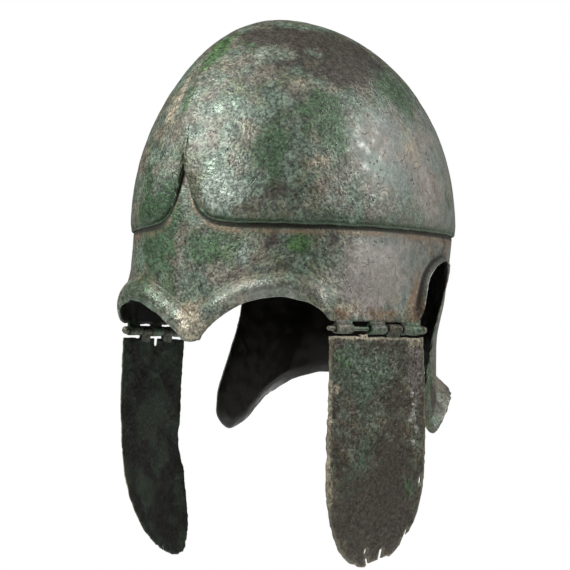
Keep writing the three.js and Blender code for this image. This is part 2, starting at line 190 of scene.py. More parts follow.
# Cheek piece: outline, form and mesh spacing
CHEEK = {"front": -61.5, "back": 21.4, "top": 4.7, "straight": 90, "length": 143, "wall": 1.7}
CHEEK_FORM = {"lean": 0.06, "bend": 21.5, "bend_power": 3.2, "tip_back": 5, "curl": 2}
CHEEK_SPACING = 0.8
CHEEK_MARGIN = {"front": 5, "back": 8, "top": 2, "end": 3}
CHEEK_SNAP = {"least_slope": 0.3, "most_cells": 1.2}
CHEEK_EDGE = {"round": 1.1, "thinned": 0.75, "fray_size": 5, "fray": 0.7, "worn": (0.4, 2.2)}
CHEEK_TOP_FRAY = {"size": 4, "height": 0.4}
CHEEK_SWELL = {"size": 38, "height": 0.6}
CHEEK_SEEDS = {"left": 71, "right": 81}
FRAY_PLACES = {"left": 7, "right": 90}
CRUST = {"size": 11, "height": 0.45, "flakes": (-0.1, 0.25), "inside": 0.5, "crevice": 0.6}
CRUST_GRAIN = {"size": 3, "height": 0.22}
CHEEK_BULGE = {"left": 2.3, "right": 0.5, "start": (20, 70), "end": (80, 118)}
RIGHT_WEAR_DEPTHS = [0, 58, 70, 88, 143]
RIGHT_WEAR_BACK = [2.5, 6, 9, 5.5, 4]

# Notches, slits and holes of the cheek pieces: a round-ended cut from one (u, v) to another
CHEEK_CUTS = {
    "left": [
        {"start": (-67.6, 78.4), "end": (-67.2, 79.2), "radius": 4},
        {"start": (-12.5, 144.5), "end": (1, 141), "radius": 4},
        {"start": (-6.1, 133.4), "end": (-5, 141), "radius": 1.3},
        {"start": (-17.1, 138), "end": (-13.5, 143), "radius": 0.8},
        {"start": (13.4, 121.8), "end": (11.2, 130), "radius": 0.8},
        {"start": (19.2, 90.4), "end": (19.2, 92.8), "radius": 0.9},
        {"start": (-19.9, 132.2), "end": (-19.9, 133.8), "radius": 0.8},
    ],
    "right": [
        {"start": (17.6, 63.5), "end": (18.4, 66), "radius": 3.2},
        {"start": (-64.2, 62), "end": (-64, 64), "radius": 2.6},
        {"start": (-29.5, 136.5), "end": (-29, 138), "radius": 0.8},
        {"start": (-20, 4), "end": (-20, 7.5), "radius": 2.2},
    ],
}

# Marks on the surface that the materials read
MARKS = (
    "green", "vivid", "brown", "pale", "tan", "rust", "warm",
    "smooth", "crevice", "grime", "lip", "worn", "inside",
)
PATCH_DEPTH = 70

# Patches of each mark on the skull: direction and height of the middle, half width, half height, strength
SKULL_PATCHES = {
    "vivid": [
        (-6, 108, 6, 13, 1.1),
        (-8, 80, 4, 22, 0.55),
        (36, -12, 8, 8, 1.0),
        (8, -15, 12, 9, 0.6),
        (-13, -18, 10, 9, 0.3),
    ],
    "green": [
        (27, 44, 12, 22, 1.0),
        (44, 68, 16, 16, 0.9),
        (50, 46, 8, 20, 0.6),
        (96, 86, 22, 20, 0.9),
        (-13, 6, 18, 9, 1.4),
        (-19, 28, 12, 20, 0.6),
        (6, -16, 20, 14, 0.8),
        (-16, -16, 16, 16, 1.0),
        (36, -14, 12, 10, 0.6),
        (11, 111, 8, 5, 0.6),
        (120, 30, 20, 30, 0.4),
        (112, -88, 16, 34, 0.8),
        (26, -42, 30, 8, 0.45),
        (-24, -42, 30, 9, 1.1),
        # dark green on the lobe beside the spur, towards the wearer's right: painted shade of the lobe's
        # rounded edge
        (-8, 18, 6, 14, 0.9),
        (-96, 48, 26, 26, 0.8),
        (-150, 62, 24, 22, 0.7),
        (176, 14, 34, 12, 0.8),
        (172, -42, 26, 12, 0.7),
    ],
    "brown": [
        (40, 117, 34, 9, 0.95),
        (14, 118, 16, 6, 0.6),
        (60, 95, 26, 14, 1.0),
        (90, 106, 22, 10, 0.6),
        (32, 96, 14, 8, 0.5),
        (31, 17, 15, 8, 0.75),
        (28, -11, 6, 8, 0.8),
        (47, -10, 7, 11, 0.7),
        (89, -45, 7, 14, 0.5),
        (124, -104, 14, 12, 0.8),
        (-88, 104, 24, 14, 0.8),
        (168, 92, 30, 16, 0.8),
        (-124, 18, 22, 14, 0.7),
    ],
    "tan": [
        (-15, 76, 8, 26, 0.75),
        (4, 98, 13, 8, 0.4),
        (37, 86, 5, 4, 0.7),
        (92, 54, 14, 22, 0.45),
        (43, 36, 9, 12, 0.6),
        (52, -50, 18, 6, 0.7),
        (76, -46, 16, 8, 0.5),
        (0, -58, 11, 13, 1.05),
        (-3, 24, 3.5, 18, 0.35),
        (-172, 44, 18, 22, 0.5),
    ],
    "rust": [
        (50, -54, 9, 5, 0.7),
        (89, -46, 6, 14, 0.8),
        (70, -53, 28, 6, 0.65),
        (-89, -46, 6, 14, 0.8),
    ],
    "pale": [
        (12, 18, 20, 14, 1.0),
        (22, 104, 12, 8, 0.5),
        (15, 66, 12, 14, 0.4),
        # lighter patch where the right crown's highlight falls: painted highlight
        (69, 34, 15, 9, 0.6),
        (50, 14, 16, 10, 0.5),
        (19, -17, 9, 9, 0.8),
        (-20, 34, 7, 20, 0.4),
        (160, 48, 22, 18, 0.7),
        (-110, 84, 16, 14, 0.6),
    ],
    "warm": [
        # lighter patch where the keel's highlight falls: painted highlight
        (3, 58, 10, 30, 0.45),
        (66, -24, 28, 18, 1.0),
        (60, -44, 24, 14, 0.8),
        (98, 22, 16, 26, 0.6),
    ],
    "smooth": [
        (70, 44, 26, 30, 1.0),
        (112, 36, 40, 46, 1.0),
        (72, -28, 40, 26, 1.1),
        (150, -60, 60, 70, 0.9),
        (24, -42, 36, 8, 0.7),
        (-24, -42, 36, 8, 0.2),
        (-78, -28, 34, 26, 1.0),
        (-150, -60, 60, 70, 0.9),
    ],
}

# Patches of each mark on a cheek piece: u and v of the middle, half width, half height, strength
CHEEK_PATCHES = {
    "vivid": [
        (-55, 22, 9, 12, 0.5),
        (9, 96, 7, 8, 0.4),
    ],
    "green": [
        (-50, 26, 14, 18, 0.8),
        (-26, 26, 22, 18, 0.75),
        (-30, 62, 14, 22, 0.45),
        (-38, 96, 14, 18, 0.9),
        (9, 95, 10, 12, 0.9),
        (-28, 122, 16, 8, 0.5),
    ],
    "tan": [
        (-36, 5, 40, 1.8, 0.9),
        (-63, 60, 3.5, 60, 0.75),
        (-59, 100, 6, 14, 0.7),
        (14, 8, 10, 6, 0.7),
        (-59, 36, 7, 4, 0.8),
    ],
    "pale": [
        (-24, 24, 24, 14, 0.3),
        (8, 38, 3, 3, 0.9),
        (12, 46, 3, 3, 0.8),
        (9, 53, 3.5, 4, 1.0),
        (13, 60, 2.5, 3, 0.9),
        (10, 68, 2, 2.5, 0.8),
    ],
    "brown": [
        (-8, 44, 12, 18, 0.6),
        (-18, 114, 36, 30, 1.3),
        (-4, 76, 18, 16, 0.5),
    ],
    "smooth": [
        (13, 26, 9, 26, 0.9),
    ],
}

# Patina colours, and colours of painted shade and painted highlight
TEAL_GREY = (0.068, 0.096, 0.070)
WARM_GREY = (0.092, 0.081, 0.062)
OLIVE = (0.066, 0.070, 0.038)
SMOOTH_GREY = (0.130, 0.144, 0.134)
SMOOTH_WARM = (0.168, 0.145, 0.126)
LILAC_GREY = (0.182, 0.166, 0.150)
PALE_TEAL = (0.150, 0.182, 0.152)
MOSS = (0.026, 0.056, 0.025)
MALACHITE = (0.030, 0.074, 0.020)
UMBER = (0.026, 0.020, 0.014)
EARTH = (0.205, 0.182, 0.130)
RUST = (0.115, 0.076, 0.042)
DIRT = (0.128, 0.090, 0.054)
BARE_BRONZE_AND_HIGHLIGHT = (0.170, 0.170, 0.140)
PIT_BLACK_AND_SHADE = (0.012, 0.010, 0.007)
SHADE_BROWN = (0.005, 0.004, 0.003)
SHADE_GREEN = (0.022, 0.034, 0.021)
CRUST_DARK = (0.020, 0.017, 0.009)
CRUST_BROWN = (0.068, 0.052, 0.033)
CRUST_TEAL = (0.054, 0.074, 0.054)
CRUST_GREY = (0.078, 0.068, 0.060)
CRUST_MOSS = (0.036, 0.056, 0.034)
CHALK = (0.200, 0.205, 0.185)
PIN_BRONZE = (0.085, 0.072, 0.052)

# Layers of patina over each other: colour, mark that spreads it, size of its blotches
SKULL_LAYERS = [
    (LILAC_GREY, "warm", 14),
    (PALE_TEAL, "pale", 7),
    (MOSS, "green", 12),
    (UMBER, "brown", 8),
    (EARTH, "tan", 9),
    (RUST, "rust", 6),
    (MALACHITE, "vivid", 8),
]
CHEEK_LAYERS = [
    (CRUST_GREY, "smooth", 6),
    (CRUST_MOSS, "green", 9),
    (UMBER, "brown", 8),
    (EARTH, "tan", 5),
    (CHALK, "pale", 3),
    (MALACHITE, "vivid", 7),
]

# Grain of each patina, sizes and depths in millimetres
# the skull's grain size also sets where its colour is painted darker and lighter as shade and light on
# the bumps
SKULL_GRAIN = {"size": 1.8, "depth": 0.46, "dents": 9, "dent_depth": 0.45}
SKULL_PITS = {"size": 3.6, "depth": 0.4}
SKULL_SCRATCHES = {"size": 16, "depth": 0.12}
CHEEK_GRAIN = {"size": 2.1, "depth": 0.85, "dents": 7, "dent_depth": 1.0}
PIN_GRAIN = {"size": 1.6, "depth": 0.25}
METALLIC = {"skull": 0.35, "cheek": 0.3, "pin": 0.25}
GLOSS = {"skull": 0.5, "cheek": 0.28, "pin": 0.5}
SKULL_DULLING = {"worn": -0.25, "brown": 0.12, "smooth": 0.07}
BLOTCHES = {"share": 1.7, "edge": (1.12, 1.62), "most": 0.92, "detail": 5, "rough": 0.64}

# Camera and light
CAMERA = {
    "azimuth": 35.19,
    "elevation": -2.30,
    "roll": 0.22,
    "distance": 1.35703,
    "sideways": -0.00624,
    "height": -0.03271,
    "lens": 135.0,
}
FLOOR = {
    "height": -0.30,
    "radius": 0.8,
    "segments": 96,
    "colours": [(0.80, 0.80, 0.79), (0.86, 0.86, 0.85)],
    "blotch_size": 400,
}
LIGHTS = [
    {"name": "key", "azimuth": -25, "elevation": 38, "distance": 1.7, "size": 0.7, "power": 58},
    {"name": "side", "azimuth": 115, "elevation": 30, "distance": 1.7, "size": 0.7, "power": 34},
    {"name": "top", "azimuth": 20, "elevation": 80, "distance": 1.9, "size": 1.2, "power": 8},
]
BACKDROP = (1.0, 1.0, 1.0)
ROOM = (0.13, 0.13, 0.13)


def smooth(low, high, value):
    t = np.clip((value - low) / (high - low), 0, 1)
    return t * t * (3 - 2 * t)


def blend(a, b, share):
    return a + (b - a) * share


def line(distance, middle, width):
    """1 along a line at the middle distance, fading to 0 over its width."""
    return np.exp(-(((distance - middle) / width) ** 2))


def curve(xs, ys, x):
    """Smooth curve through (x, y) pairs that never overshoots. ys may differ for each x."""
    xs = np.asarray(xs, float)
    x = np.asarray(x, float)
    ys = np.broadcast_to(np.asarray(ys, float), x.shape + xs.shape)
    grades = np.diff(ys) / np.diff(xs)
    before = grades[..., :-1]
    after = grades[..., 1:]
    same_way = before * after > 0
    inner = np.where(same_way, 2 * before * after / np.where(same_way, before + after, 1), 0)
    slopes = np.concatenate([grades[..., :1], inner, grades[..., -1:]], -1)
    i = np.searchsorted(xs[1:-1], x)
    width = xs[i + 1] - xs[i]
    t = np.clip((x - xs[i]) / width, 0, 1)

    def pick(values, index):
        return np.take_along_axis(values, index[..., None], -1)[..., 0]

    rise = blend(pick(ys, i), pick(ys, i + 1), (3 - 2 * t) * t * t)
    ease = (1 - t) ** 2 * t * pick(slopes, i) - t * t * (1 - t) * pick(slopes, i + 1)
    return rise + width * ease


def random_at(lattice, seed):
    """Random value from -1 to 1 for each lattice point, the same on every run."""
    mixed = lattice @ np.array([374761393, 668265263, 1274126177]) + seed * 974711
    mixed = (mixed ^ (mixed >> 13)) * 1103515245
    mixed = (mixed ^ (mixed >> 16)) & 0xFFFF
    return mixed / 32767.5 - 1


def noise(points, size, seed):
    """Smooth random values from -1 to 1 with features about size across."""
    cell = np.asarray(points) / size
    low = np.floor(cell).astype(np.int64)
    part = smooth(0, 1, cell - low)
    total = np.zeros(cell.shape[:-1])
    for corner in np.ndindex(2, 2, 2):
        share = np.prod(np.where(corner, part, 1 - part), -1)
        total += share * random_at(low + corner, seed)
    return total


def layered_noise(points, size, seed, layers=3):
    return sum(noise(points, size / 2**k, seed + k) * 0.55**k for k in range(layers))


def ridge_radius(at):
    along = np.cos(np.radians(at))
    across = np.abs(np.sin(np.radians(at))) / RIDGE["half_width"]
    depth = np.where(along > 0, RIDGE["front"], RIDGE["back"])
    power = RIDGE["power"]
    return (across**power + (np.abs(along) / depth) ** power) ** (-1 / power)


def on_sheet(at, radius, z):
    angle = np.radians(at)
    return np.stack(np.broadcast_arrays(radius * np.sin(angle), -radius * np.cos(angle), z), -1)


def band_radius(at, z):
    levels = [curve(BAND_DIRECTIONS, row, at) for row in BAND_OFFSETS]
    rounded = ridge_radius(at) + curve(BAND_HEIGHTS, np.stack(levels, -1), np.minimum(z, 0))
    across = smooth(*TEMPLE["front"], at) - smooth(*TEMPLE["back"], at)
    down = 1 - smooth(*TEMPLE["height"], z)
    turned = np.clip(at - TEMPLE["facing"], -60, 60)
    flat = TEMPLE["distance"] / np.cos(np.radians(turned))
    return blend(rounded, flat, across * down)


def edge_at(t):
    """Points of the skull's edge: t counts rows of the EDGE table."""
    counts = np.arange(len(EDGE))
    table = np.array(EDGE, float)
    return {name: curve(counts, table[:, k], t) for k, name in enumerate(EDGE_COLUMNS)}


def edge_forms(at, z):
    """Distance to the edge, the edge's forms there, and how far they push the sheet out."""
    edge = edge_at(np.linspace(0, len(EDGE) - 1, EDGE_SAMPLES * (len(EDGE) - 1) + 1))
    near = np.empty(at.shape)
    nearest = np.empty(at.shape, int)
    for k in range(len(at)):
        sideways = np.radians(at[k][:, None] - edge["at"]) * SHEET_RADIUS
        apart = np.hypot(sideways, z[k][:, None] - edge["z"])
        nearest[k] = apart.argmin(-1)
        near[k] = apart.min(-1)
    forms = {name: edge[name][nearest] for name in ("roll", "cove", "lip")}
    over = np.minimum((near + ROLL["tucked_under"]) / (ROLL["width"] + ROLL["tucked_under"]), 1)
    push = forms["roll"] * ROLL["height"] * np.sin(np.pi * over).clip(0) ** ROLL["power"]
    push += forms["cove"] * COVE["height"] * np.maximum(1 - near / COVE["width"], 0) ** 2
    push += forms["lip"] * LIP["height"] * np.maximum(1 - near / LIP["width"], 0) ** 2
    return near, forms, push


def sheet_columns():
    """Edge counts of the columns of the skull's left half: even steps, closer by the spur."""
    t = np.linspace(0, len(EDGE) - 1, COLUMN_SAMPLES)
    edge = edge_at(t)
    ridge_step = np.radians(np.diff(edge["ridge"])) * SHEET_RADIUS
    edge_step = np.hypot(np.radians(np.diff(edge["at"])) * SHEET_RADIUS, np.diff(edge["z"]))
    past = smooth(SPUR_CLOSER["from"], SPUR_CLOSER["to"], edge["ridge"][1:])
    closer = 1 + SPUR_CLOSER["times"] * (1 - past)
    run = np.concatenate([[0], np.cumsum(np.maximum(ridge_step, edge_step) * closer)])
    return np.interp(np.linspace(0, run[-1], SKULL_COLUMNS), run, t)


def lean_spur(points):
    """The spur leans a little towards the wearer's right."""
    x, y, z = np.moveaxis(points, -1, 0)
    share = smooth(LEAN["bottom"], LEAN["top"], z) * smooth(LEAN["back"], LEAN["front"], y)
    share = share * np.exp(-((x / LEAN["width"]) ** 2))
    return points - np.stack([LEAN["sideways"] * share, 0 * share, 0 * share], -1)


def crown_part(edge, reach, brim, depth, rows):
    height = CROWN["height"] - depth
    share = np.linspace(0, 1, rows + 1)[1:]
    climb = blend(np.pi / 2, np.arcsin(brim / height)[:, None], share)
    ridge = edge["ridge"][:, None]
    crown = on_sheet(ridge, (reach - depth)[:, None] * np.cos(climb), height * np.sin(climb))
    full = np.sin(2 * climb)
    ahead = np.cos(np.radians(ridge)).clip(0) ** CROWN["front_power"]
    crown[..., 1] += CROWN["fuller_back"] * full
    crown[..., 1] -= CROWN["apex_forward"] * np.sin(climb) ** CROWN["apex_power"]
    crown[..., 1] -= CROWN["fuller_front"] * ahead * full ** CROWN["front_ease"]
    return crown


def round_crown_edge(crown, ridge, brim):
    """Turns the crown in towards its edge."""
    across = np.radians(ridge) * SHEET_RADIUS
    width = CROWN_ROUND["width"]
    apart = np.empty(crown.shape[:-1])
    for k in range(len(crown)):
        sideways = across[k] - across
        apart[k] = np.hypot(sideways, crown[k, :, 2][:, None] - brim).min(-1)
    turned = 1 - np.sqrt(1 - (1 - np.minimum(apart / width, 1)) ** 2)
    by_spur = np.exp(-((across / CROWN_ROUND["spur_width"]) ** 2))[:, None]
    by_tip = np.exp(-((across / CROWN_ROUND["tip_width"]) ** 2))[:, None]
    by_spur *= 1 - CROWN_ROUND["tip_share"] * by_tip
    depth = CROWN_ROUND["depth"] + CROWN_ROUND["spur_depth"] * by_spur
    out = crown / [RIDGE["half_width"] ** 2, RIDGE["front"] ** 2, CROWN["height"] ** 2]
    out /= np.linalg.norm(out, axis=-1, keepdims=True)
    return crown - out * (turned * depth)[..., None], turned


def band_part(edge, brim, depth, rows):
    """Points of the band below the step, with their marks."""
    top = brim - STEP_DROP - BAND_BELOW_STEP
    run = np.hypot(np.radians(edge["at"] - edge["ridge"]) * SHEET_RADIUS, top - edge["z"])
    formed = (np.minimum(FORMED_WIDTH, FORMED_SHARE * run) / run)[:, None]
    upper = np.linspace(0, 1, rows["band"] + 1)[1:-1]
    lower = np.linspace(1, 0, rows["edge"])
    share = np.concatenate([upper * (1 - formed), 1 - lower * formed], 1)
    at = blend(edge["ridge"][:, None], edge["at"][:, None], share)
    z = blend(top[:, None], edge["z"][:, None], share)
    near, forms, push = edge_forms(at, z)
    under_crown = np.maximum(z, 0) / CROWN["height"]
    inset = ridge_radius(at) * (1 - np.sqrt(1 - under_crown**2))
    points = on_sheet(at, band_radius(at, z) - inset + push - depth, z)
    below = top[:, None] - z
    crease = line(below, *STEP_CREASE)
    crease += DIRT_SHARES["roll_crease"] * forms["roll"] * line(near, *ROLL_CREASE)
    crease += DIRT_SHARES["cove_crease"] * forms["cove"] * line(near, *COVE_CREASE)
    # the worn mark here paints a highlight along the brow rolls' crests, where they are also worn, and
    # along the very rims of the ear openings and neck guard
    worn = forms["roll"] * line(near, *ROLL_HIGHLIGHT_AND_WEAR)
    worn += (forms["cove"] + forms["lip"]) * line(near, *RIM_HIGHLIGHT)
    rust = DIRT_SHARES["cove_rust"] * forms["cove"] * line(near, *COVE_RUST)
    rim = 1 - smooth(0, FRAY["reach"], near)
    # painted shade: dark under the step's overhang, and along the ear flanges and the neck guard's front
    # edges
    grime = 1 - smooth(*STEP_SHADE, below) + forms["cove"] * line(near, *COVE_SHADE)
    marks = {"crevice": crease.clip(0, 1), "grime": grime, "worn": worn.clip(0, 1), "rust": rust}
    marks.update({"rim": rim, "lip": 0 * rim})
    return points, marks


def sheet_face(columns, depth, rows, step):
    """Left half of one face of the skull, by column and row from the apex down, with its marks."""
    edge = edge_at(columns)
    reach = ridge_radius(edge["ridge"])
    sideways = np.where(edge["ridge"] < 90, reach * np.sin(np.radians(edge["ridge"])), reach)
    narrow = np.maximum(sideways - depth, 0) / SPUR["reach"]
    brim = SPUR["height"] * np.exp(-(narrow ** SPUR["power"])) + INNER_BRIM_RISE * depth
    crown = crown_part(edge, reach, brim, depth, rows["crown"])
    crown, turned = round_crown_edge(crown, edge["ridge"], brim)
    band, marks = band_part(edge, brim, depth, rows)
    crown_edge = np.hypot(crown[:, -1, 0], crown[:, -1, 1])[:, None]
    inward = crown_edge - np.hypot(band[:, 0, 0], band[:, 0, 1])[:, None] + LEDGE_OVERLAP
    down, share = np.array(step).T
    ledge = on_sheet(edge["ridge"][:, None], crown_edge - inward * share, brim[:, None] - down)
    above = {name: np.zeros((len(columns), rows["crown"] + len(step))) for name in marks}
    # painted shade: the lower rows of the step's ledge, under the crown's overhang, are painted full dark
    above["grime"][:, rows["crown"] + len(step) // 2:] = 1
    above["lip"][:, : rows["crown"]] = turned
    above["lip"][:, rows["crown"]:] = 1
    marks = {name: np.concatenate([above[name], marks[name]], 1) for name in marks}
    return np.concatenate([crown, ledge, band], 1), marks


def both_halves(points, marks):
    """The left half and its mirror image, once round."""
    other_half = points[-2:0:-1] * [-1, 1, 1]
    whole = lean_spur(np.concatenate([points, other_half]))
    return whole, {name: np.concatenate([values, values[-2:0:-1]]) for name, values in marks.items()}


def grid_normals(points):
    """Outward normals of a grid that closes round its columns."""
    along = np.roll(points, -1, 0) - np.roll(points, 1, 0)
    down = np.gradient(points, axis=1)
    normal = np.cross(down, along)
    return normal / np.maximum(np.linalg.norm(normal, axis=-1, keepdims=True), 1e-9)


def fray_edge(points, rim):
    """Wears the skull's lower edge unevenly, most of all the broken end of the nasal."""
    flat = points * [1, 1, FRAY["flatten"]]
    shift = FRAY["height"] * noise(flat, FRAY["size"], 11)
    nasal = (1 - smooth(*NASAL_BREAK["across"], np.abs(points[..., 0]))) * (points[..., 1] < 0)
    nasal *= 1 - smooth(*NASAL_BREAK["up"], points[..., 2])
    shift += nasal * NASAL_BREAK["height"] * noise(flat, NASAL_BREAK["size"], 12)
    points[..., 2] += shift * rim


def crack_mark(points):
    """How deep in the crack above the left ear each point is, from 0 to 1."""
    around = np.arctan2(points[..., 0], -points[..., 1]) * SHEET_RADIUS
    place = np.stack([around, points[..., 2]], -1)
    path = np.array([(math.radians(at) * SHEET_RADIUS, z) for at, z in CRACK["path"]])
    apart = np.full(around.shape, np.inf)
    for start, end in zip(path, path[1:]):
        way = end - start
        along = ((place - start) @ way / (way @ way)).clip(0, 1)
        apart = np.minimum(apart, np.linalg.norm(place - start - along[..., None] * way, axis=-1))
    return np.exp(-((apart / CRACK["width"]) ** 2))


def weather(points, marks):
    """Hammer swell, lumps and the keel on the skull's outer face."""
    normal = grid_normals(points)
    x, y, z = np.moveaxis(points, -1, 0)
    height = SWELL["height"] * noise(points, SWELL["size"], 21)
    rough = 1 - LUMPS["smoothed"] * marks["smooth"]
    height += rough * LUMPS["height"] * layered_noise(points, LUMPS["size"], 22)
    height += marks["lip"] * LIP_LUMPS["height"] * layered_noise(points, LIP_LUMPS["size"], 25)
    front = smooth(*KEEL["start"], z) * (1 - smooth(*KEEL["end"], z)) * (y < 0)
    aside = x - np.interp(z, KEEL_HEIGHTS, KEEL_SIDEWAYS)
    height += front * KEEL["height"] * line(aside, 0, KEEL["half_width"])
    crack = crack_mark(points)
    # painted shade: the crack is painted dark as its gap would be
    marks["grime"] = np.maximum(marks["grime"], crack)
    height -= CRACK["depth"] * crack
    return points + normal * height[..., None]


def patches_of(table):
    return [(mark, *row) for mark, rows in table.items() for row in rows]


def skull_patch_marks(points, marks):
    for mark, at, z, wide, tall, strength in patches_of(SKULL_PATCHES):
        level = math.sqrt(1 - (max(z, 0) / CROWN["height"]) ** 2)
        middle = on_sheet(at, ridge_radius(at) * level, z)
        out = np.array([math.sin(math.radians(at)), -math.cos(math.radians(at)), 0])
        aside = np.array([-out[1], out[0], 0])
        apart = points - middle
        reach = ((apart @ aside) / wide) ** 2 + (apart[..., 2] / tall) ** 2
        reach += ((apart @ out) / PATCH_DEPTH) ** 2
        marks[mark] = marks[mark] + strength * np.exp(-reach)


def grid_faces(columns, rows, start=0, flip=False):
    """Quads of a grid of columns that closes round."""
    column, row = np.meshgrid(np.arange(columns), np.arange(rows - 1), indexing="ij")
    a = start + column * rows + row
    b = start + (column + 1) % columns * rows + row
    corners = [a, a + 1, b + 1, b]
    if flip:
        corners.reverse()
    return np.stack(corners, -1).reshape(-1, 4).tolist()


def shape(points, faces, marks=None):
    """One closed surface: points, faces and a value of every mark at every point."""
    points = np.asarray(points, float).reshape(-1, 3)
    given = marks or {}
    full = {name: np.asarray(given.get(name, np.zeros(len(points))), float).ravel() for name in MARKS}
    return {"points": points, "faces": faces, "marks": full}


def joined(shapes):
    starts = np.cumsum([0] + [len(each["points"]) for each in shapes])
    faces = []
    for start, each in zip(starts, shapes):
        faces += [[int(start) + k for k in face] for face in each["faces"]]
    return {
        "points": np.concatenate([each["points"] for each in shapes]),
        "faces": faces,
        "marks": {name: np.concatenate([each["marks"][name] for each in shapes]) for name in MARKS},
    }


def mirrored(each):
    return {
        "points": each["points"] * [-1, 1, 1],
        "faces": [face[::-1] for face in each["faces"]],
        "marks": each["marks"],
    }


def skull_shell():
    columns = sheet_columns()
    outer, outer_marks = both_halves(*sheet_face(columns, 0, OUTER_ROWS, OUTER_STEP))
    inner, inner_marks = both_halves(*sheet_face(columns, SKULL_WALL, INNER_ROWS, INNER_STEP))
    for name in MARKS:
        outer_marks.setdefault(name, np.zeros(outer.shape[:-1]))
    skull_patch_marks(outer, outer_marks)
    fray_edge(outer, outer_marks["rim"])
    fray_edge(inner, inner_marks["rim"])
    outer = weather(outer, outer_marks)
    end = outer[:, -1:] - outer[:, -2:-1]
    end /= np.linalg.norm(end, axis=-1, keepdims=True)
    rim = (outer[:, -1:] + inner[:, -1:]) / 2 + 0.5 * end
    count = len(outer)
    grid = np.concatenate([outer, rim, inner[:, ::-1]], 1)
    rows = grid.shape[1]
    inside = np.zeros((count, rows))
    inside[:, -inner.shape[1]:] = 1
    marks = {"inside": np.append(inside.ravel(), [0, 1])}
    for name in MARKS:
        if name != "inside":
            spread = np.pad(outer_marks[name], [(0, 0), (0, rows - outer.shape[1])], mode="edge")
            marks[name] = np.append(spread.ravel(), [0, 0])
    apexes = [[0, -CROWN["apex_forward"], CROWN["height"] - depth] for depth in (0, SKULL_WALL)]
    faces = grid_faces(count, rows)
    last = count * rows
    for k in range(count):
        after = (k + 1) % count
        faces.append([last, k * rows, after * rows])
        faces.append([last + 1, after * rows + rows - 1, k * rows + rows - 1])
    return shape(np.concatenate([grid.reshape(-1, 3), apexes]), faces, marks)


def from_hinge(u, w, v):
    """Hinge space of the left temple: u runs back along the hinge, w outwards, v down."""
    back = -np.array(LEFT_HINGE["axis"])
    out = np.array([back[1], -back[0], 0])
    middle = np.array(LEFT_HINGE["pos_m"]) / MM
    middle = middle - back * (middle @ back)
    u, w, v = (np.asarray(value, float)[..., None] for value in (u, w, v))
    return middle + u * back + w * out - v * np.array([0, 0, 1])


def knuckle(start, end, tab_way, wall, seed):
    """A tube round the pin, rolled from a tab that runs UP or DOWN into its sheet."""
    half = wall / 2
    spread = math.asin(half / KNUCKLE["radius"])
    turn = np.linspace(spread, 2 * math.pi - spread, KNUCKLE["around"])
    ring_w = np.concatenate([[half], KNUCKLE["radius"] * np.sin(turn), [-half]])
    ring_v = np.concatenate([[KNUCKLE["tab"]], KNUCKLE["radius"] * np.cos(turn), [KNUCKLE["tab"]]])
    bore_turn = np.linspace(BORE_SEAM, 2 * math.pi - BORE_SEAM, KNUCKLE["around"] + 2)
    bore_w = KNUCKLE["bore"] * np.sin(bore_turn)
    bore_v = KNUCKLE["bore"] * np.cos(bore_turn)
    along = np.linspace(start, end, KNUCKLE["along"])
    inset = np.minimum(along - start, end - along)[:, None]
    squeeze = 1 - KNUCKLE_WEAR["end_squeeze"] * (1 - smooth(0, KNUCKLE["bevel"], inset))
    around = len(ring_w)
    outer = np.stack(np.broadcast_arrays(along[:, None], ring_w * squeeze, ring_v * squeeze), -1)
    bore = np.stack(np.broadcast_arrays(along[:, None], bore_w, bore_v), -1)
    wear = KNUCKLE_WEAR["depth"] * layered_noise(outer, KNUCKLE_WEAR["size"], seed)
    outer[..., 1:] *= 1 + (wear / KNUCKLE["radius"])[..., None]
    loop = np.concatenate([outer, bore[::-1]])
    points = from_hinge(loop[..., 0], loop[..., 1], tab_way * loop[..., 2])
    faces = grid_faces(len(loop), around, flip=tab_way < 0)
    for ring in range(len(loop)):
        after = (ring + 1) % len(loop)
        seam = [ring * around + around - 1, ring * around, after * around, after * around + around - 1]
        faces.append(seam if tab_way > 0 else seam[::-1])
    count = len(loop) * around
    return shape(points, faces, {name: np.full(count, value) for name, value in KNUCKLE_MARKS.items()})


def knuckles(table, tab_way, wall, seed):
    return [knuckle(*row, tab_way, wall, seed + k) for k, row in enumerate(table)]


def broken_stub():
    """What is left of the left cheek piece's front knuckle: a ragged tongue."""
    columns = STUB["columns"]
    u = np.linspace(STUB["from"], STUB["to"], columns)
    top = STUB["top"] + STUB["ragged"] * noise(np.stack([u, u * 0, u * 0], -1), 2, 51)
    drop, narrow = STUB["bevel"]
    half = CHEEK["wall"] / 2
    loop_w = [half * narrow, half, half, -half, -half, -half * narrow]
    ends = [top, top + drop, np.full(columns, KNUCKLE["tab"])]
    loop_v = ends + ends[::-1]
    grid = np.stack([np.stack([u, np.full(columns, w), v], -1) for w, v in zip(loop_w, loop_v)])
    points = from_hinge(grid[..., 0], grid[..., 1], grid[..., 2])
    around = len(loop_w)
    faces = grid_faces(around, columns, flip=True)
    faces.append([k * columns for k in range(around)])
    faces.append([k * columns + columns - 1 for k in reversed(range(around))])
    count = around * columns
    return shape(points, faces, {"tan": np.ones(count), "worn": np.full(count, 0.4)})


def cheek_out(u, v):
    """How far the middle of the cheek piece's sheet stands out from under the hinge."""
    down = v / CHEEK["length"]
    share = cheek_share(u, v).clip(-1.1, 1.1)
    inward = CHEEK_FORM["bend"] * down.clip(0) ** CHEEK_FORM["bend_power"]
    return CHEEK_FORM["lean"] * v - inward - CHEEK_FORM["curl"] * share**2 * down


def cheek_share(u, v):
    middle = (CHEEK["front"] + CHEEK["back"]) / 2 + CHEEK_FORM["tip_back"] * (v / CHEEK["length"]) ** 3
    return (u - middle) / ((CHEEK["back"] - CHEEK["front"]) / 2)


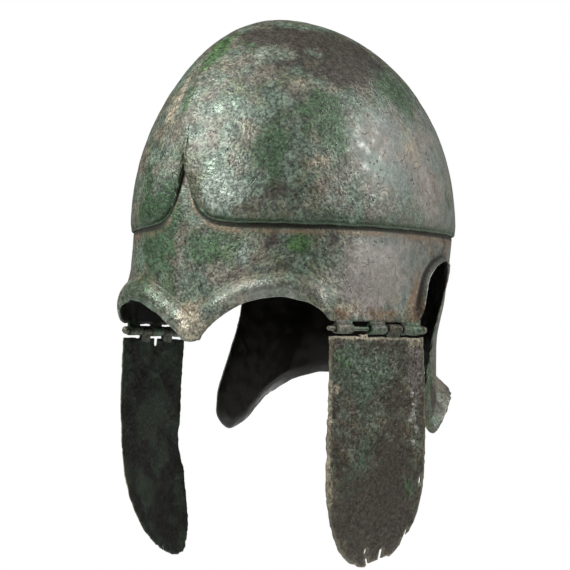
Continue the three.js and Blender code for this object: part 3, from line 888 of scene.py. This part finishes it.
def cheek_outline(u, v, side):
    """Distance outside the cheek piece's outline, negative inside."""
    half = (CHEEK["back"] - CHEEK["front"]) / 2
    share = cheek_share(u, v)
    swell = smooth(*CHEEK_BULGE["start"], v) - smooth(*CHEEK_BULGE["end"], v)
    share = np.where(share < 0, share / (1 + CHEEK_BULGE[side] * swell / half), share)
    if side == "right":
        worn = curve(RIGHT_WEAR_DEPTHS, RIGHT_WEAR_BACK, v)
        share = np.where(share > 0, share / (1 - worn / half), share)
    end = np.maximum(v - CHEEK["straight"], 0) / (CHEEK["length"] - CHEEK["straight"])
    outside = np.hypot(share, end) - 1
    slope = np.hypot(*np.gradient(outside, CHEEK_SPACING))
    apart = outside / np.maximum(slope, 1e-4)
    place = np.stack([u, v, np.full_like(u, FRAY_PLACES[side])], -1)
    apart = apart + CHEEK_EDGE["fray"] * layered_noise(place, CHEEK_EDGE["fray_size"], 61)
    top_fray = CHEEK_TOP_FRAY["height"] * noise(place, CHEEK_TOP_FRAY["size"], 62)
    apart = np.maximum(apart, CHEEK["top"] - v + top_fray)
    for cut in CHEEK_CUTS[side]:
        start, end = np.array(cut["start"]), np.array(cut["end"])
        way = end - start
        along = (((u - start[0]) * way[0] + (v - start[1]) * way[1]) / (way @ way)).clip(0, 1)
        gap = np.hypot(u - start[0] - along * way[0], v - start[1] - along * way[1])
        apart = np.maximum(apart, cut["radius"] - gap)
    return apart


def edges_used_once(faces):
    """Border edges of a list of quads, in the direction that their face runs."""
    quads = np.array(faces)
    edges = np.concatenate([quads[:, [k, (k + 1) % 4]] for k in range(4)])
    low_high = np.sort(edges, 1)
    _, first, count = np.unique(low_high, axis=0, return_index=True, return_counts=True)
    return edges[first[count == 1]]


def cheek_plate(side):
    first_u, last_u = CHEEK["front"] - CHEEK_MARGIN["front"], CHEEK["back"] + CHEEK_MARGIN["back"]
    first_v, last_v = CHEEK["top"] - CHEEK_MARGIN["top"], CHEEK["length"] + CHEEK_MARGIN["end"]
    steps_u = np.arange(first_u, last_u, CHEEK_SPACING)
    steps_v = np.arange(first_v, last_v, CHEEK_SPACING)
    u, v = np.meshgrid(steps_u, steps_v, indexing="ij")
    apart = cheek_outline(u, v, side)
    middle = (apart[:-1, :-1] + apart[1:, :-1] + apart[:-1, 1:] + apart[1:, 1:]) / 4
    column, row = np.nonzero(middle < 0)
    wide = len(steps_v)
    a = column * wide + row
    quads = np.stack([a, a + 1, a + wide + 1, a + wide], -1)
    used, packed = np.unique(quads, return_inverse=True)
    quads = packed.reshape(quads.shape)
    slope_u, slope_v = (part.ravel()[used] for part in np.gradient(apart, CHEEK_SPACING))
    u, v, apart = u.ravel()[used], v.ravel()[used], apart.ravel()[used]
    border = edges_used_once(quads)
    rim = np.unique(border)
    steep = np.maximum(slope_u**2 + slope_v**2, CHEEK_SNAP["least_slope"])[rim]
    most = CHEEK_SNAP["most_cells"] * CHEEK_SPACING
    shift = np.clip(apart[rim] / steep, -most, most)
    u[rim] -= shift * slope_u[rim]
    v[rim] -= shift * slope_v[rim]
    inside = np.maximum(-apart, 0)
    inside[rim] = 0
    return cheek_faces(u, v, inside, quads, border, side)


def cheek_faces(u, v, inside, quads, border, side):
    """Outer and inner face of a cheek piece, its border, crust and marks."""
    seed = CHEEK_SEEDS[side]
    place = np.stack([u, v, np.zeros_like(u)], -1)
    edge = np.minimum(inside / CHEEK_EDGE["round"], 1)
    thick = CHEEK["wall"] / 2 * np.sqrt(1 - CHEEK_EDGE["thinned"] * (1 - edge) ** 2)
    flakes = smooth(*CRUST["flakes"], layered_noise(place, CRUST["size"], seed))
    grain = CRUST_GRAIN["height"] * layered_noise(place, CRUST_GRAIN["size"], seed + 5)
    crust = CRUST["height"] * (flakes - 0.5) + grain
    swell = CHEEK_SWELL["height"] * noise(place, CHEEK_SWELL["size"], seed + 9)
    out = cheek_out(u, v) + swell
    outer = from_hinge(u, out + thick + crust * edge, v)
    inner = from_hinge(u, out - thick + CRUST["inside"] * crust * edge, v)
    count = len(u)
    faces = quads.tolist() + (quads[:, ::-1] + count).tolist()
    faces += [[b, a, a + count, b + count] for a, b in border.tolist()]
    marks = {name: np.zeros(2 * count) for name in MARKS}
    for mark, mid_u, mid_v, wide, tall, strength in patches_of(CHEEK_PATCHES):
        reach = ((u - mid_u) / wide) ** 2 + ((v - mid_v) / tall) ** 2
        marks[mark][:count] += strength * np.exp(-reach)
    marks["crevice"][:count] = (1 - flakes) * CRUST["crevice"]
    marks["worn"][:count] = 1 - smooth(*CHEEK_EDGE["worn"], inside)
    marks["inside"][count:] = 1
    return shape(np.concatenate([outer, inner]), faces, marks)


def hinge_pin(ball_at_back, seed):
    """A worn pin with a ball head."""
    radius, ball = PIN["radius"], PIN["ball_radius"]
    neck = math.asin(radius / ball)
    turn = np.linspace(neck, math.pi, PIN_MESH["ball"])
    neck_at = PIN["ball_centre"] - ball * math.cos(neck)
    shaft = np.linspace(PIN["from"] + radius, neck_at, PIN_MESH["along"])[:-1]
    least = PIN_TIP["least_radius"]
    tip = [PIN["from"], PIN["from"] + PIN_TIP["length"]]
    along = np.concatenate([tip, shaft, PIN["ball_centre"] - ball * np.cos(turn)])
    head = np.maximum(ball * np.sin(turn), least)
    out = np.concatenate([[least, PIN_TIP["radius"]], np.full(len(shaft), radius), head])
    if not ball_at_back:
        along = SKULL_KNUCKLES[0][0] + SKULL_KNUCKLES[-1][1] - along
    around = PIN_MESH["around"]
    angle = np.linspace(0, 2 * math.pi, around, endpoint=False)[:, None]
    place = np.stack(np.broadcast_arrays(along, out * np.sin(angle), out * np.cos(angle)), -1)
    wear = 1 + PIN_WEAR["share"] * layered_noise(place, PIN_WEAR["size"], seed)
    points = from_hinge(place[..., 0], place[..., 1] * wear, place[..., 2] * wear)
    rows = len(along)
    faces = grid_faces(around, rows, flip=ball_at_back)
    for row, way in ((0, 1), (rows - 1, -1)):
        ring = [k * rows + row for k in range(around)]
        faces.append(ring[::way] if not ball_at_back else ring[::-way])
    return shape(points, faces, {"worn": np.full(around * rows, 0.5)})


class Paint:
    """A material whose nodes are added one call at a time."""

    def __init__(self, name):
        self.material = bpy.data.materials.new(name)
        self.material.use_nodes = True
        self.tree = self.material.node_tree
        self.shader = self.tree.nodes["Principled BSDF"]
        self.place = self.tree.nodes.new("ShaderNodeTexCoord").outputs["Object"]

    def add(self, kind, settings=None, **inputs):
        node = self.tree.nodes.new(kind)
        for name, value in (settings or {}).items():
            setattr(node, name, value)
        for name, value in inputs.items():
            self.give(node.inputs[name.replace("_", " ")], value)
        return node

    def give(self, socket, value):
        if isinstance(value, bpy.types.NodeSocket):
            self.tree.links.new(value, socket)
        else:
            socket.default_value = value

    def texture(self, kind, size, place=None, settings=None, **inputs):
        """A texture node with features about size millimetres across."""
        return self.add(kind, settings, Vector=place or self.place, Scale=1 / (size * MM), **inputs)

    def noise(self, size, detail=4, rough=0.55):
        node = self.texture("ShaderNodeTexNoise", size, Detail=detail, Roughness=rough)
        return node.outputs["Fac"]

    def wobbled(self, size, amount):
        """Coordinates pushed about by noise, in millimetres."""
        push = self.texture("ShaderNodeTexNoise", size, Detail=2)
        node = self.add("ShaderNodeVectorMath", {"operation": "MULTIPLY_ADD"})
        self.give(node.inputs[0], push.outputs["Color"])
        self.give(node.inputs[1], (amount * MM,) * 3)
        self.give(node.inputs[2], self.place)
        return node.outputs[0]

    def cracks(self, size):
        """Distance from the nearest edge in a net of rounded cells."""
        place = self.wobbled(size * 1.2, size * 1.2)
        net = self.texture("ShaderNodeTexVoronoi", size, place, {"feature": "DISTANCE_TO_EDGE"})
        return net.outputs["Distance"]

    def weighted(self, *terms):
        """Sum of values times their weights."""
        total = 0.0
        for value, weight in terms:
            total = self.math("MULTIPLY_ADD", value, weight, total)
        return total

    def dots(self, size):
        """Distance from the nearest of many scattered dots."""
        node = self.texture("ShaderNodeTexVoronoi", size, self.wobbled(size, size * 0.5))
        return node.outputs["Distance"]

    def mark(self, name, share=None):
        """The value of a mark, or a share of it."""
        value = self.add("ShaderNodeAttribute", {"attribute_name": name}).outputs["Fac"]
        return value if share is None else self.math("MULTIPLY", value, share)

    def math(self, operation, *values):
        node = self.add("ShaderNodeMath", {"operation": operation})
        for socket, value in zip(node.inputs, values):
            self.give(socket, value)
        return node.outputs[0]

    def span(self, value, low, high, start=0.0, end=1.0):
        """Eases from start to end as value goes from low to high."""
        node = self.add("ShaderNodeMapRange", {"interpolation_type": "SMOOTHSTEP"}, Value=value)
        for name, number in zip(("From Min", "From Max", "To Min", "To Max"), (low, high, start, end)):
            node.inputs[name].default_value = number
        return node.outputs["Result"]

    def mix(self, a, b, share, blend_type="MIX"):
        node = self.add("ShaderNodeMix", {"data_type": "RGBA", "blend_type": blend_type})
        colours = [socket for socket in node.inputs if socket.type == "RGBA"]
        self.give(node.inputs["Factor"], share)
        for socket, colour in zip(colours, (a, b)):
            self.give(socket, colour if isinstance(colour, bpy.types.NodeSocket) else (*colour, 1))
        return next(socket for socket in node.outputs if socket.type == "RGBA")

    def layer(self, colour, tint, mark, size):
        """Lays blotches of tint over colour where a mark and noise together are high."""
        blotch = self.noise(size, BLOTCHES["detail"], BLOTCHES["rough"])
        level = self.weighted((self.mark(mark), 1.0), (blotch, BLOTCHES["share"]))
        return self.mix(colour, tint, self.span(level, *BLOTCHES["edge"], 0.0, BLOTCHES["most"]))

    def darken(self, colour, value, low, high, darkest, lightest):
        """Multiplies colour by a grey that eases from darkest to lightest."""
        grey = self.span(value, low, high, darkest, lightest)
        node = self.add("ShaderNodeVectorMath", {"operation": "SCALE"})
        self.give(node.inputs[0], colour)
        self.give(node.inputs["Scale"], grey)
        return node.outputs[0]

    def finish(self, colour, metal, roughness):
        """Sets the shader's colour and roughness, with the metal and gloss of one kind of piece."""
        self.give(self.shader.inputs["Base Color"], colour)
        self.give(self.shader.inputs["Roughness"], roughness)
        self.shader.inputs["Metallic"].default_value = METALLIC[metal]
        self.shader.inputs["Specular IOR Level"].default_value = GLOSS[metal]

    def bump(self, layers, strength):
        """Stacks bumps: each a height and its depth in millimetres."""
        normal = None
        for height, depth in layers:
            node = self.add("ShaderNodeBump", Height=height, Distance=depth * MM, Strength=strength)
            if normal:
                self.give(node.inputs["Normal"], normal)
            normal = node.outputs["Normal"]
        self.give(self.shader.inputs["Normal"], normal)


def skull_blotches(paint, rough):
    """Patina of the skull's rough and smooth stretches, under layers of blotches."""
    colour = paint.mix(TEAL_GREY, WARM_GREY, paint.span(paint.noise(17, 3), 0.38, 0.68))
    colour = paint.mix(colour, OLIVE, paint.span(paint.noise(12, 4), 0.46, 0.68, 0.0, 0.8))
    plain = paint.mix(SMOOTH_GREY, SMOOTH_WARM, paint.span(paint.noise(26, 5), 0.42, 0.62))
    colour = paint.mix(plain, colour, rough)
    for tint, mark, size in SKULL_LAYERS:
        colour = paint.layer(colour, tint, mark, size)
    # lighter bronze where the worn mark is: painted highlight on the brow rolls' crests and the rims, and
    # wear
    return paint.mix(colour, BARE_BRONZE_AND_HIGHLIGHT, paint.mark("worn", 0.3))


def skull_dirt_and_shade(paint, colour, scratches, pits):
    """Colour with black scratches and pits, the crown's green lip (partly painted shade), dirt in the
    creases, painted shade under the step, in the crack and along the ear flanges, and painted shade
    inside.
    """
    colour = paint.mix(colour, PIT_BLACK_AND_SHADE, paint.math("MULTIPLY", scratches, 0.6))
    colour = paint.mix(PIT_BLACK_AND_SHADE, colour, paint.span(pits, 0.31, 0.39, 0.15, 1.0))
    # dark green on the crown's turned edge and the step's ledge: partly patina, partly painted shade
    # where the edge turns in
    colour = paint.mix(colour, MOSS, paint.mark("lip", 0.75))
    patchy = paint.span(paint.noise(9, 5), 0.38, 0.62, 0.15, 0.9)
    colour = paint.mix(colour, DIRT, paint.mark("crevice", patchy))
    # painted shade: near black under the step, on the ledge, in the crack and along the ear flanges
    colour = paint.mix(colour, PIT_BLACK_AND_SHADE, paint.mark("grime", 0.92))
    return paint.mix(colour, SHADE_BROWN, paint.mark("inside"))


def skull_bronze():
    paint = Paint("skull_patina")
    rough = paint.span(paint.mark("smooth"), 0.2, 0.8, 1.0, 0.32)
    fine = paint.noise(SKULL_GRAIN["size"], 5, 0.72)
    # painted shade and light on the grain: the same noise raises the bumps, so the colour is darker in
    # their hollows and lighter on their tops; the mottle is random tone
    painted_relief_shade = paint.span(fine, 0.36, 0.62, 0.30, 1.5)
    mottle = paint.span(paint.noise(5, 4, 0.65), 0.36, 0.64, 0.66, 1.34)
    relief_shade_and_mottle = paint.mix((1, 1, 1), paint.math("MULTIPLY", painted_relief_shade, mottle), rough)
    colour = paint.mix(skull_blotches(paint, rough), relief_shade_and_mottle, 1.0, "MULTIPLY")
    scratches = paint.span(paint.cracks(SKULL_SCRATCHES["size"]), 0.004, 0.02, 1.0, 0.0)
    scratches = paint.math("MULTIPLY", scratches, paint.span(paint.noise(13, 3), 0.54, 0.62))
    pits = paint.weighted((paint.dots(SKULL_PITS["size"]), 1.0), (paint.noise(14, 3), 0.5))
    colour = skull_dirt_and_shade(paint, colour, scratches, pits)
    dulled = paint.weighted(*((paint.mark(mark), share) for mark, share in SKULL_DULLING.items()))
    dulled = paint.math("ADD", paint.noise(7, 4), dulled)
    dull = paint.math("MAXIMUM", paint.span(dulled, 0.22, 0.66, 0.30, 0.62), paint.mark("grime"))
    paint.finish(colour, "skull", dull)
    grain = paint.weighted((paint.noise(SKULL_GRAIN["size"], 2, 0.5), 1.0), (fine, 0.3))
    bumps = [
        (paint.noise(SKULL_GRAIN["dents"], 3), SKULL_GRAIN["dent_depth"]),
        (paint.math("MULTIPLY", grain, rough), SKULL_GRAIN["depth"]),
        (scratches, -SKULL_SCRATCHES["depth"]),
        (paint.span(pits, 0.28, 0.41), SKULL_PITS["depth"]),
    ]
    paint.bump(bumps, paint.span(paint.mark("inside"), 0.0, 1.0, 1.0, 0.1))
    return paint.material


def cheek_bronze():
    paint = Paint("cheek_patina")
    colour = paint.mix(CRUST_DARK, CRUST_BROWN, paint.span(paint.noise(14, 6, 0.62), 0.40, 0.62))
    colour = paint.mix(colour, CRUST_TEAL, paint.span(paint.noise(7, 5), 0.40, 0.66, 0.0, 0.75))
    for tint, mark, size in CHEEK_LAYERS:
        colour = paint.layer(colour, tint, mark, size)
    fine = paint.noise(2.0, 5, 0.74)
    # painted shade and light on the grain: darker where the fine noise is low and lighter where it is
    # high; this noise also feeds the bumps
    colour = paint.darken(colour, fine, 0.38, 0.62, 0.24, 1.7)
    colour = paint.mix(colour, UMBER, paint.mark("crevice", 0.5))
    colour = paint.mix(colour, EARTH, paint.mark("worn", 0.35))
    shade = paint.mix(SHADE_BROWN, SHADE_GREEN, paint.span(paint.noise(24, 5), 0.40, 0.60))
    colour = paint.mix(colour, shade, paint.mark("inside", 0.9))
    paint.finish(colour, "cheek", paint.span(paint.noise(5, 4), 0.3, 0.7, 0.36, 0.62))
    grain = paint.weighted((paint.noise(CHEEK_GRAIN["size"], 2, 0.5), 1.0), (fine, 0.25))
    dents = paint.noise(CHEEK_GRAIN["dents"], 3)
    bumps = [(dents, CHEEK_GRAIN["dent_depth"]), (grain, CHEEK_GRAIN["depth"])]
    paint.bump(bumps, paint.span(paint.mark("inside"), 0.0, 1.0, 1.0, 0.3))
    return paint.material


def pin_bronze():
    paint = Paint("pin_patina")
    colour = paint.mix(PIN_BRONZE, MOSS, paint.span(paint.noise(5, 4), 0.42, 0.62))
    grain = paint.noise(PIN_GRAIN["size"], 4, 0.6)
    # painted shade and light on the grain: darker in the hollows of the bumps, lighter on their tops
    colour = paint.darken(colour, grain, 0.34, 0.66, 0.5, 1.3)
    paint.finish(colour, "pin", paint.span(grain, 0.3, 0.7, 0.4, 0.6))
    paint.bump([(grain, PIN_GRAIN["depth"])], 1.0)
    return paint.material


def floor_paint():
    paint = Paint("pale_floor")
    colour = paint.mix(*FLOOR["colours"], paint.noise(FLOOR["blotch_size"], 2))
    paint.give(paint.shader.inputs["Base Color"], colour)
    paint.shader.inputs["Roughness"].default_value = 0.8
    return paint.material


def add_object(name, data):
    thing = bpy.data.objects.new(name, data)
    bpy.context.scene.collection.objects.link(thing)
    return thing


def add_piece(name, form, materials, slot, body, node):
    """Makes a smooth mesh object that stands for a node and rides its body."""
    mesh = bpy.data.meshes.new(name)
    mesh.from_pydata((form["points"] * MM).tolist(), [], form["faces"])
    for mark, values in form["marks"].items():
        layer = mesh.attributes.new(mark, "FLOAT", "POINT")
        layer.data.foreach_set("value", values.astype(np.float32))
    mesh.shade_smooth()
    mesh.materials.append(materials[slot])
    piece = add_object(name, mesh)
    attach(piece, body)
    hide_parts(node)


def build_helmet():
    paints = {"skull_bronze": skull_bronze(), "cheek_bronze": cheek_bronze(), "pin_bronze": pin_bronze()}
    left_tubes = knuckles(SKULL_KNUCKLES, UP, SKULL_WALL, 31)
    right_tubes = [mirrored(tube) for tube in knuckles(SKULL_KNUCKLES, UP, SKULL_WALL, 36)]
    skull = joined([skull_shell()] + left_tubes + right_tubes)
    whole_knuckles = CHEEK_KNUCKLES[1:]
    left = [cheek_plate("left")] + knuckles(whole_knuckles, DOWN, CHEEK["wall"], 41) + [broken_stub()]
    left = joined(left)
    right = [cheek_plate("right")] + knuckles(CHEEK_KNUCKLES, DOWN, CHEEK["wall"], 43)
    right = mirrored(joined(right))
    add_piece("skull_sheet", skull, paints, "skull_bronze", "skull", "skull")
    add_piece("cheek_left_sheet", left, paints, "cheek_bronze", "cheek_left", "cheek_left")
    add_piece("cheek_right_sheet", right, paints, "cheek_bronze", "cheek_right", "cheek_right")
    left_pin = hinge_pin(True, 46)
    right_pin = mirrored(hinge_pin(False, 47))
    add_piece("pin_left", left_pin, paints, "pin_bronze", "skull", "hinge_pin_left")
    add_piece("pin_right", right_pin, paints, "pin_bronze", "skull", "hinge_pin_right")


def direction(azimuth, elevation):
    a, e = math.radians(azimuth), math.radians(elevation)
    return Vector((math.sin(a) * math.cos(e), -math.cos(a) * math.cos(e), math.sin(e)))


def add_camera():
    azimuth = math.radians(CAMERA["azimuth"])
    back = direction(CAMERA["azimuth"], CAMERA["elevation"])
    right = Vector((math.cos(azimuth), math.sin(azimuth), 0))
    target = CAMERA["sideways"] * right + Vector((0, 0, CAMERA["height"]))
    turn = Matrix((right, back.cross(right), back)).transposed()
    turn = turn @ Matrix.Rotation(math.radians(CAMERA["roll"]), 3, "Z")
    lens = bpy.data.cameras.new("camera")
    lens.lens = CAMERA["lens"]
    camera = add_object("camera", lens)
    camera.matrix_world = Matrix.Translation(target + CAMERA["distance"] * back) @ turn.to_4x4()
    bpy.context.scene.camera = camera


def add_floor():
    turn = np.linspace(0, 2 * np.pi, FLOOR["segments"], endpoint=False)
    ring = np.stack([np.cos(turn), np.sin(turn), 0 * turn], -1) * FLOOR["radius"]
    mesh = bpy.data.meshes.new("floor")
    mesh.from_pydata((ring + [0, 0, FLOOR["height"]]).tolist(), [], [list(range(FLOOR["segments"]))])
    mesh.materials.append(floor_paint())
    floor = add_object("floor", mesh)


def add_lights():
    for row in LIGHTS:
        light = bpy.data.lights.new(row["name"], "AREA")
        light.size = row["size"]
        light.energy = row["power"]
        lamp = add_object(row["name"], light)
        away = direction(row["azimuth"], row["elevation"])
        lamp.location = away * row["distance"]
        lamp.rotation_euler = away.to_track_quat("Z", "Y").to_euler()


def add_studio():
    """A white backdrop all round, in a dim room."""
    world = bpy.data.worlds.new("studio")
    world.use_nodes = True
    nodes, links = world.node_tree.nodes, world.node_tree.links
    path = nodes.new("ShaderNodeLightPath")
    shown = nodes.new("ShaderNodeMix")
    shown.data_type = "RGBA"
    dim, bright = [socket for socket in shown.inputs if socket.type == "RGBA"]
    dim.default_value = (*ROOM, 1)
    bright.default_value = (*BACKDROP, 1)
    links.new(path.outputs["Is Camera Ray"], shown.inputs["Factor"])
    result = next(socket for socket in shown.outputs if socket.type == "RGBA")
    links.new(result, nodes["Background"].inputs["Color"])
    bpy.context.scene.world = world
    bpy.context.scene.view_settings.view_transform = "Standard"


build_helmet()
add_camera()
add_floor()
add_lights()
add_studio()
